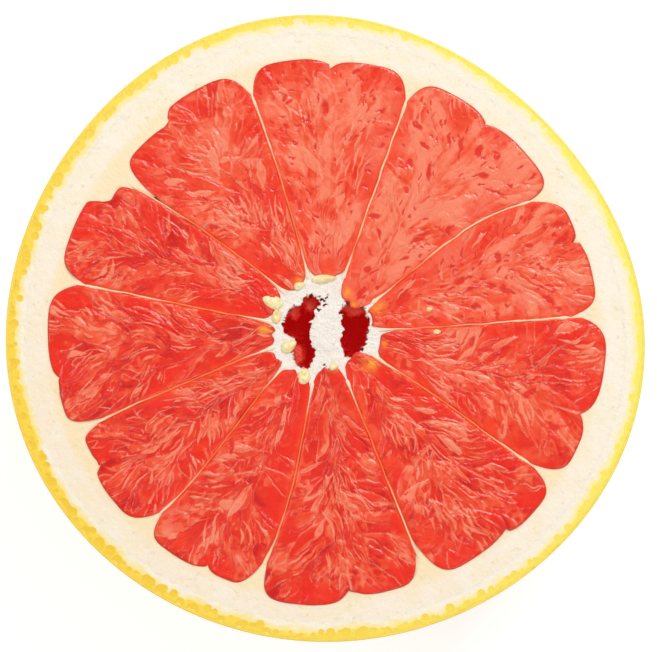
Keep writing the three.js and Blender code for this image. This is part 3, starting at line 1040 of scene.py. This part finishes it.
def flesh_tone(index, grid, marks):
    """How pale the flesh is: the sacs' own tones and the marks', weaker where the painted sheen lies. Where
    sacs are cut across, their round ends take over. The painted sheen fades by the back, and long streaks
    fan out from the tip through it."""
    tone = marks.tone + 0.42 * marks.torn + 0.18 * marks.streaks + 0.18 * marks.fibres
    tone = tone * (1 - 0.45 * grid.sheen_and_calm) + 0.3 * marks.drift
    round_ends = 0.75 * soft(0.36, 0.58, marks.ends) - 0.12 + 0.2 * marks.drift
    tone = blend(tone, round_ends, 0.75 * marks.cut_across)
    by_back = soft(5, 0.5, grid.from_back + flat_noise(grid.x, grid.y, 2.5, 57))
    fan_streaks = noise(grid.across * 34, grid.along * 2.2, index * 5.0, 1.0, 58)
    return tone - 0.3 * grid.sheen_and_calm * by_back + 0.2 * grid.sheen_and_calm * fan_streaks


def flesh_of(index):
    """The points of one segment's flesh, and the numbers that its material reads."""
    grid = segment_grid(index)
    marks = flesh_marks(index, grid)
    x, y, wx, wy = grid.x, grid.y, marks.wx, marks.wy
    # The spots are frayed by noise.
    amber = spots_field(wx, wy, AMBER_SPOTS) * (0.75 + 0.5 * flat_noise(x, y, 0.8, 56))
    ember = spots_field(wx + 0.6 * flat_noise(x, y, 2, 91), wy + 0.9 * flat_noise(x, y, 2, 92), EMBER_SPOTS)
    ember = soft(0.15, 0.75, ember + 0.15 * flat_noise(x, y, 0.9, 93)) * (1 - 0.5 * marks.wall_and_highlight)
    numbers = {
        "tone": flesh_tone(index, grid, marks),
        "wall_and_highlight": np.maximum(marks.wall_and_highlight * (1 - 0.7 * grid.sheen_and_calm), notch_line(index, grid)),
        "crease_shadow": marks.crease_shadow * (1 - 0.75 * grid.sheen_and_calm),
        "juicy": marks.juicy,
        "spot": marks.spot,
        "rind": np.minimum(grid.from_back, grid.from_tip),
        "side": grid.from_side,
        "amber": np.clip(amber, 0, 1),
        "ember": ember,
    }
    return np.stack([x, y, cut_height + flesh_level(grid, marks)], -1), numbers


print("each point of the flesh stores:", ", ".join(flesh_of(0)[1]))

# %% Build the eleven segments
segments = []
for index in range(len(SEGMENTS)):
    top, numbers = flesh_of(index)
    piece = walled_body(f"segment_{index + 1:02d}", top, FLESH_DEPTH)
    for name, values in numbers.items():
        paint(piece, name, np.concatenate([values.ravel(), edge_of(values), [0]]))
    segments.append(piece)
print(len(segments), "segments,", len(segments[0].data.vertices), "points each")

# %% [markdown]
# ## The flesh's finish
#
# Wet flesh has three parts: the colour of the juice, deep red where one looks into a full sac and pink
# where a wall scatters the light; light that spreads through it; and a film of juice on top, which is
# the sharp gloss. The first is built from the stored numbers, with painted sheen, painted highlights on
# the sac walls and painted shadow in the creases and round the rind; the second is subsurface
# scattering, and the third is the coat. Each segment gets its own material, because some carry more
# painted sheen than others and so are paler.

# %% The flesh's materials
DEEP, RED, CORAL, SALMON = (
    (0.56, 0.004, 0.001, 1), (0.735, 0.018, 0.003, 1), (0.82, 0.074, 0.022, 1), (0.86, 0.215, 0.115, 1)
)
# The crease colour is painted shadow, and the wall colour is the sacs' pale wall with a painted highlight on
# one side.
WALL_AND_HIGHLIGHT, CREASE_SHADOW, JUICE = (0.90, 0.29, 0.17, 1), (0.52, 0.006, 0.002, 1), (0.80, 0.014, 0.0005, 1)
AMBER, RIM_SHADE, GLOW = (0.90, 0.32, 0.03, 1), (0.60, 0.025, 0.003, 1), (0.88, 0.05, 0.006, 1)
SPOT, EMBER = (0.72, 0.018, 0.003, 1), (0.84, 0.035, 0.003, 1)
# A segment's paleness is painted sheen: with none it adds the darkest amount to the tone, with full sheen the
# palest.
DARKEST, PALEST = -0.52, 0.38  # what a deep red segment and a salmon one add to the tone
TONE_STEPS = [(-0.45, -0.05, RED), (-0.05, 0.45, CORAL), (0.35, 1.0, SALMON)]
TINTS = [("juicy", 0.9, JUICE), ("wall_and_highlight", 0.8, WALL_AND_HIGHLIGHT), ("crease_shadow", 0.7, CREASE_SHADOW), ("spot", 0.95, SPOT),
         ("ember", 0.75, EMBER)]


def flesh_material(index, pale):
    """The flesh of one segment: pale is its painted sheen, from 0, deep red, to 1, salmon."""
    material, tree, shader = new_material(f"wet_flesh_{index + 1:02d}")
    place = object_place(tree)
    # Soft pale blotches of this noise are painted sheen on the wet flesh, and the same noise sets its
    # roughness.
    sheen_haze = noise_node(tree, place, 210.0, 3.0)
    grit = noise_node(tree, place, 850.0, 2.0)
    tone = math_node(tree, "MULTIPLY_ADD", sheen_haze, 0.4, attribute(tree, "tone"))
    tone = math_node(tree, "MULTIPLY_ADD", grit, 0.6, tone)
    # Here the segment's painted sheen makes all its flesh paler.
    tone = math_node(tree, "ADD", tone, blend(DARKEST, PALEST, pale))
    colour = DEEP
    for start, end, paler in TONE_STEPS:
        colour = mix(tree, remap(tree, tone, start, end), colour, paler)
    for name, amount, tint in TINTS:
        colour = mix(tree, math_node(tree, "MULTIPLY", attribute(tree, name), amount), colour, tint)
    colour = mix(tree, attribute(tree, "amber"), colour, AMBER)
    colour = mix(tree, remap(tree, attribute(tree, "side"), 1.3, 0.0, 0.0, 0.55), colour, GLOW)
    # A dark red line round the back and the tip is painted shade, where the flesh's rounded lip meets the
    # pith and the core.
    colour = mix(tree, remap(tree, attribute(tree, "rind"), 0.5, 0.05, 0.0, 0.75), colour, RIM_SHADE)
    feed(tree, shader.inputs["Base Color"], colour)
    feed(tree, shader.inputs["Roughness"], remap(tree, sheen_haze, 0.35, 0.65, 0.25, 0.45))
    grain = use_group(tree, wet_grain, Scale=1500.0, Fine=0.35)["Height"]
    feed(tree, shader.inputs["Normal"], bump(tree, grain, 0.00012))
    shader.inputs["IOR"].default_value = 1.34
    glowing(shader, 0.25, (1.0, 0.2, 0.1), 0.0008)
    coated(shader, 0.65, 0.08)
    shader.inputs["Coat IOR"].default_value = 1.38
    return material


for index, piece in enumerate(segments):
    finish_piece(piece, flesh_material(index, SEGMENTS[index][5]), "pulp")

# %% [markdown]
# ## The skins between the segments
#
# Each skin is a thin sheet on edge. Only its top edge shows: a pale line that widens into the pith at
# the rind and into the core at its other end. A strip with a rounded top, carried down into the fruit,
# gives that line a real thickness.

# %% Build the eleven skins
SKIN_STEPS = 260
SKIN_START, SKIN_END = 8.2, 45.0
THIN, CORE_FLARE, RIND_FLARE, SKIN_RISE = 0.17, 0.4, 0.35, 0.34
BY_CORE, BY_RIND = (13, 8.5), (38, 45)  # where a skin widens into the core and into the rind
SKIN_PALE = (0.6, 0.75, 0.95, 0.5, 0.25, 0.45, 0.25, 0.1, 0.3, 0.45, 0.35)  # how far in each stays cream


def skin_strip(index):
    """A strip along one skin: the width and the level follow the distance from the core, and the top is
    rounded by the square of the place across it."""
    distance = np.linspace(SKIN_START, SKIN_END, SKIN_STEPS)[:, None]
    side = np.linspace(-1, 1, 9)[None, :]
    wander = 0.1 * flat_noise(distance, index * 7.0, 2.5, 51)
    half = THIN + CORE_FLARE * soft(*BY_CORE, distance) ** 1.5 + RIND_FLARE * soft(*BY_RIND, distance)
    half = half * (1 + 0.25 * flat_noise(distance, index * 3.0, 1.6, 53))
    angle = skin_angle(index, distance) + (wander + side * half) / distance
    x, y = from_core(angle, distance)
    level = SKIN_RISE + 0.07 * flat_noise(distance, index * 11.0, 1.9, 54) - 0.2 * side**2
    level = level - 0.55 * soft(40.5, 44.5, distance) - 0.6 * soft(10, 8.3, distance)
    level = level + 0.04 * flat_noise(x, y, 0.5, 55)
    return np.stack([x, y, cut_height + level + 0 * x], -1), distance + 0 * x


skins = []
for index in range(len(SKINS)):
    top, distance = skin_strip(index)
    piece = walled_body(f"skin_{index + 1:02d}", top, FLESH_DEPTH)
    paint(piece, "out", np.concatenate([distance.ravel(), edge_of(distance), [20]]))
    paint(piece, "pale", np.full(distance.size, SKIN_PALE[index]))
    skins.append(piece)
print(len(skins), "skins,", len(skins[0].data.vertices), "points each")

# %% The skins' material
thin_skin, tree, shader = new_material("thin_skin")
patches = noise_node(tree, object_place(tree), 160.0, 2.0)
reach = math_node(tree, "ADD", attribute(tree, "out"), math_node(tree, "MULTIPLY_ADD", patches, 20.0, -13.0))
reach = math_node(tree, "MULTIPLY_ADD", attribute(tree, "pale"), 22.0, reach)
MID_SKIN, END_SKIN = (0.90, 0.17, 0.045, 1), (0.90, 0.58, 0.33, 1)
colour = mix(tree, remap(tree, reach, 30.0, 45.0), MID_SKIN, END_SKIN)
colour = mix(tree, remap(tree, attribute(tree, "out"), 39.0, 43.0), colour, (0.88, 0.70, 0.45, 1))
colour = mix(tree, remap(tree, attribute(tree, "out"), 16.0, 11.5), colour, (0.88, 0.64, 0.42, 1))
colour = mix(tree, remap(tree, attribute(tree, "out"), 11.0, 8.5), colour, (0.87, 0.75, 0.63, 1))
feed(tree, shader.inputs["Base Color"], colour)
shader.inputs["Roughness"].default_value = 0.4
glowing(shader, 0.2, (1.0, 0.5, 0.3), 0.0005)
coated(shader, 0.3, 0.2)
feed(tree, shader.inputs["Normal"], bump(tree, use_group(tree, wet_grain, Scale=1800.0)["Height"], 0.0001))
for piece in skins:
    finish_piece(piece, thin_skin, "membrane")

# %% [markdown]
# ## The core
#
# In the middle the skins meet in a ragged white star, and inside it stands a column of soft pith. Beside
# the column the fruit has split and left deep hollows, where only red light comes back out of the flesh
# around them: their colour is painted shade, darker red the deeper, with a faint painted red glow. A
# height over a round grid does all of the shape: flat for the star, raised for the column, and dropping
# steeply inside the hollows, whose outlines are ellipses pushed about by noise.

# %% Build the core
CORE_RADIUS, CORE_DEPTH, CORE_STEPS = 14.2, 15, 250
HOLLOW_DEPTH, PINHOLE_DEPTH, COLUMN_RISE = 9, 1.6, 0.3
# Each hollow, the column and each lit spot: middle and half sizes. Each pinhole: place and size.
HOLLOWS = [(-4.6, 1.5, 2.7, 3.1), (-3.9, -3.9, 2.1, 3.0), (-2.6, 4.1, 1.8, 2.2), (4.8, 0.4, 2.7, 5.4),
           (-2.9, -1.8, 1.3, 1.9)]
COLUMN = (0.3, 0.0, 2.9, 4.5)
LIT = [(4.9, 4.6, 2.4, 2.3), (-4.9, -4.4, 1.3, 2.3), (-5.6, 3.2, 1.1, 1.4), (-2.7, 4.4, 1.2, 1.4)]
PINHOLES = [(-1.6, 4.9, 0.32), (-0.5, 5.2, 0.42), (-0.1, 4.1, 0.25), (-1.0, 3.5, 0.2), (-2.0, 6.3, 0.3),
            (-0.2, -6.3, 0.3), (0.3, 5.9, 0.2), (-1.2, 5.9, 0.22)]


def inside_ellipse(x, y, place):
    """Millimetres inside an ellipse given by its middle and half sizes, less outside."""
    cx, cy, half_x, half_y = place
    return (1 - np.hypot((x - cx) / half_x, (y - cy) / half_y)) * min(half_x, half_y)


share, angle = disc_grid(CORE_STEPS)
local_x = share * CORE_RADIUS * np.cos(angle)
local_y = share * CORE_RADIUS * np.sin(angle)
RAGGED = [(1.1, 0.3), (0.5, 0.3), (0.27, 0.2)]  # what frays the outlines: sizes and heights of noise
wx, wy = local_x, local_y
for n, (size, tall) in enumerate(RAGGED):
    wx = wx + tall * flat_noise(local_x, local_y, size, 61 + n)
    wy = wy + tall * flat_noise(local_x, local_y, size, 67 + n)
hollow = np.max([inside_ellipse(wx, wy, place) for place in HOLLOWS], axis=0)
column = soft(-0.1, 1.2, inside_ellipse(wx, wy, COLUMN))
hollow = np.where(column > 0.02, np.minimum(hollow, 0.05 - inside_ellipse(wx, wy, COLUMN)), hollow)
fluff = 0.14 * flat_noise(local_x, local_y, 0.7, 65) + 0.13 * flat_noise(local_x, local_y, 0.32, 66)
level = 0.02 + fluff * (0.65 - 0.45 * soft(8.5, 11, share * CORE_RADIUS)) + COLUMN_RISE * column
lit = np.max([soft(-0.3, 0.5, inside_ellipse(wx, wy, place)) for place in LIT], axis=0)
drop = HOLLOW_DEPTH * soft(0, 0.8, hollow) * (1 - 0.75 * lit)
for px, py, size in PINHOLES:
    drop = drop + PINHOLE_DEPTH * soft(size, 0.3 * size, np.hypot(wx - px, wy - py))
level = level - drop - 0.1 * soft(13.6, CORE_RADIUS, share * CORE_RADIUS)
x, y = local_x + core[0], local_y + core[1]
core_pith = walled_body("core", np.stack([x, y, cut_height + level], -1), CORE_DEPTH)
paint(core_pith, "depth", drop)
paint(core_pith, "lit", lit)
print(f"core: {(hollow > 0).mean():.0%} of it is hollow, down to {drop.max():.1f} mm")

# %% The core's material
fluffy, tree, shader = new_material("fluffy_core")
place = object_place(tree)
white = use_group(tree, mottle, Base=(0.95, 0.87, 0.79, 1), Patch=(0.91, 0.72, 0.60, 1), Scale=420.0,
                  Amount=0.3)["Color"]
depth, lit = attribute(tree, "depth"), attribute(tree, "lit")
# In the hollows the colour is painted shade: pinkish at the edge, darker red the deeper, paler red at the lit
# spots. The faint red emission is painted glow.
well_shade = mix(tree, lit, (0.50, 0.004, 0.004, 1), (0.80, 0.07, 0.04, 1))
painted_glow = mix(tree, lit, (0.18, 0.001, 0.001, 1), (0.30, 0.02, 0.012, 1))
colour = mix(tree, remap(tree, depth, 0.05, 0.7), white, (0.70, 0.20, 0.16, 1))
colour = mix(tree, remap(tree, depth, 0.5, 1.8), colour, well_shade)
feed(tree, shader.inputs["Base Color"], colour)
feed(tree, shader.inputs["Emission Color"], mix(tree, remap(tree, depth, 1.0, 4.0), (0, 0, 0, 1), painted_glow))
shader.inputs["Emission Strength"].default_value = 1.0
feed(tree, shader.inputs["Roughness"], remap(tree, depth, 0.5, 3.0, 0.7, 0.4))
grain = use_group(tree, wet_grain, Scale=3200.0, Fine=0.6)["Height"]
feed(tree, shader.inputs["Normal"], bump(tree, grain, 0.0002))
glowing(shader, 0.12, (1.0, 0.6, 0.5), 0.0006)
finish_piece(core_pith, fluffy, "pith")

# %% [markdown]
# ## Seeds
#
# A nearly seedless fruit still has a few small flat seeds that never filled, by the core where the
# segments meet it. Each is a lens with one pointed end and a few dents: a disc grid for its top, with
# the same grid's edge carried under it.

# %% Build the seeds
# Each seed: its place from the core, length, width, and how far it is turned, in degrees.
SEEDS = [
    (-9.2, 4.9, 3.8, 2.4, 160), (-0.2, 8.9, 4.5, 1.5, 5), (-4.5, 7.7, 2.1, 1.4, 20),
    (-8.5, 2.4, 2.5, 1.6, 85), (-6.3, -2.8, 2.9, 2.0, 32), (-3.7, -8.0, 2.9, 2.2, 75),
    (1.5, -6.4, 1.8, 1.2, 10), (18.1, 3.6, 1.2, 0.9, 20), (19.4, -0.3, 1.6, 0.9, 5),
]
SEED_STEPS = 28
SEED_HALF_HEIGHT = 0.8


def seed_body(number, x, y, length, width, turn):
    """A flat teardrop: a disc, narrower at one end, with a height like half a lens."""
    share, angle = disc_grid(SEED_STEPS)
    along, side = share * np.cos(angle), share * np.sin(angle)
    taper = 1 - 0.28 * along
    dents = 1 + 0.05 * flat_noise(along + number * 5, side, 0.5, 71)
    u, v = along * length / 2 * dents, side * width / 2 * taper * dents
    c, s = np.cos(np.radians(turn)), np.sin(np.radians(turn))
    px, py = core[0] + x + u * c - v * s, core[1] + y + u * s + v * c
    bulge = np.sqrt(np.clip(1 - share**2, 0, 1)) * (1 + 0.25 * flat_noise(along + number * 3, side, 0.35, 72))
    middle_height = node_top - SEED_HALF_HEIGHT * 1.3
    top = np.stack([px, py, middle_height + SEED_HALF_HEIGHT * bulge], -1)
    rim = edge_of(top)
    heart = rim.mean(0)
    under = [blend(heart, rim, keep) - [0, 0, fall] for keep, fall in ((0.9, 0.4), (0.6, 0.7))]
    return closed_body(f"seed_{number + 1:02d}", top, under)


print(len(SEEDS), "seeds, the longest", max(row[2] for row in SEEDS), "mm")

# %% The seeds' material
pale_seed, tree, shader = new_material("pale_seed")
place = object_place(tree)
colour = use_group(tree, mottle, Base=(0.91, 0.80, 0.45, 1), Patch=(0.89, 0.58, 0.20, 1), Scale=420.0,
                   Amount=0.5)["Color"]
colour = use_group(tree, mottle, Base=colour, Patch=(0.60, 0.52, 0.18, 1), Scale=1300.0, Amount=0.25)["Color"]
feed(tree, shader.inputs["Base Color"], colour)
shader.inputs["Roughness"].default_value = 0.4
glowing(shader, 0.2, (1.0, 0.7, 0.3), 0.0006)
coated(shader, 0.4, 0.2)
feed(tree, shader.inputs["Normal"], bump(tree, use_group(tree, wet_grain, Scale=2000.0)["Height"], 0.0001))
for number, row in enumerate(SEEDS):
    finish_piece(seed_body(number, *row), pale_seed, "seed")

# %% [markdown]
# ## Floor, light and camera
#
# The fruit lies on a plain pale floor under large soft lights, the strongest from the top right. The
# floor and the backdrop are white to the eye but weak as lights: a Light Path node tells the two apart,
# so that they don't light the peel from below and wash out its shadow. The camera looks straight down
# at the cut from half a metre, through a long lens, so the cut face keeps its true outline. The standard
# view transform keeps whites white.

# %% Floor and backdrop
FLOOR_HALF = 3000


def flat_square(name, half, height):
    """A flat square, looking up."""
    corners = [(-half, -half, height), (half, -half, height), (half, half, height), (-half, half, height)]
    mesh = bpy.data.meshes.new(name)
    mesh.from_pydata([Vector(corner) * MM for corner in corners], [], [(0, 1, 2, 3)])
    square = bpy.data.objects.new(name, mesh)
    bpy.context.scene.collection.objects.link(square)
    return square


TABLE_GLOW = (0.1, 0.55)  # the white table is lit from inside: what it gives the fruit, and what one sees
floor = flat_square("floor", FLOOR_HALF, -0.02)
paint_floor, tree, shader = new_material("pale_floor")
seen = tree.nodes.new("ShaderNodeLightPath").outputs["Is Camera Ray"]
feed(tree, shader.inputs["Base Color"], (0.62, 0.62, 0.62, 1))
shader.inputs["Roughness"].default_value = 0.9
shader.inputs["Emission Color"].default_value = (1, 1, 1, 1)
feed(tree, shader.inputs["Emission Strength"], remap(tree, seen, 0.0, 1.0, *TABLE_GLOW))
floor.data.materials.append(paint_floor)

WORLD_GLOW = (0.48, 0.88)  # the backdrop: as a light, and as seen, where it matches the far floor
world = bpy.data.worlds.new("studio")
bpy.context.scene.world = world
world.use_nodes = True
world.node_tree.nodes["Background"].inputs["Color"].default_value = (1, 1, 1, 1)
seen = world.node_tree.nodes.new("ShaderNodeLightPath").outputs["Is Camera Ray"]
strength = remap(world.node_tree, seen, 0.0, 1.0, *WORLD_GLOW)
feed(world.node_tree, world.node_tree.nodes["Background"].inputs["Strength"], strength)
print("camera rays see", TABLE_GLOW[1], "from the floor and", WORLD_GLOW[1], "from the backdrop")

# %% Soft lights


def soft_light(name, place, size, power):
    """A square area light, in metres and watts, turned to the fruit."""
    lamp = bpy.data.lights.new(name, "AREA")
    lamp.size, lamp.energy = size, power
    light = bpy.data.objects.new(name, lamp)
    light.location = place
    to_fruit = Vector((0, 0, cut_height * MM)) - Vector(place)
    light.rotation_euler = to_fruit.to_track_quat("-Z", "Y").to_euler()
    bpy.context.scene.collection.objects.link(light)


# Each light: its name, place, size and power.
LIGHTS = [
    ("key", (0.35, 0.75, 0.95), 0.5, 8.3),
    ("left", (-0.95, 0.15, 0.9), 0.6, 3.9),
    ("front", (0.45, -0.85, 0.9), 0.6, 3.4),
]
for row in LIGHTS:
    soft_light(*row)
print("lights:", [lamp.name for lamp in bpy.data.lights])

# %% Camera
SENSOR = 36
VIEW_WIDTH = 114.0  # millimetres of the cut face across the picture
CAMERA_HEIGHT = 520  # above the cut
CAMERA_SHIFT = (0.55, 0.4)
camera_data = bpy.data.cameras.new("camera")
camera_data.sensor_width = SENSOR
camera_data.lens = SENSOR * CAMERA_HEIGHT / VIEW_WIDTH
camera = bpy.data.objects.new("camera", camera_data)
camera.location = Vector((*CAMERA_SHIFT, cut_height + CAMERA_HEIGHT)) * MM
bpy.context.scene.collection.objects.link(camera)
bpy.context.scene.camera = camera
bpy.context.scene.view_settings.view_transform = "Standard"
print(f"lens {camera_data.lens:.0f} mm, {CAMERA_HEIGHT} mm above the cut")
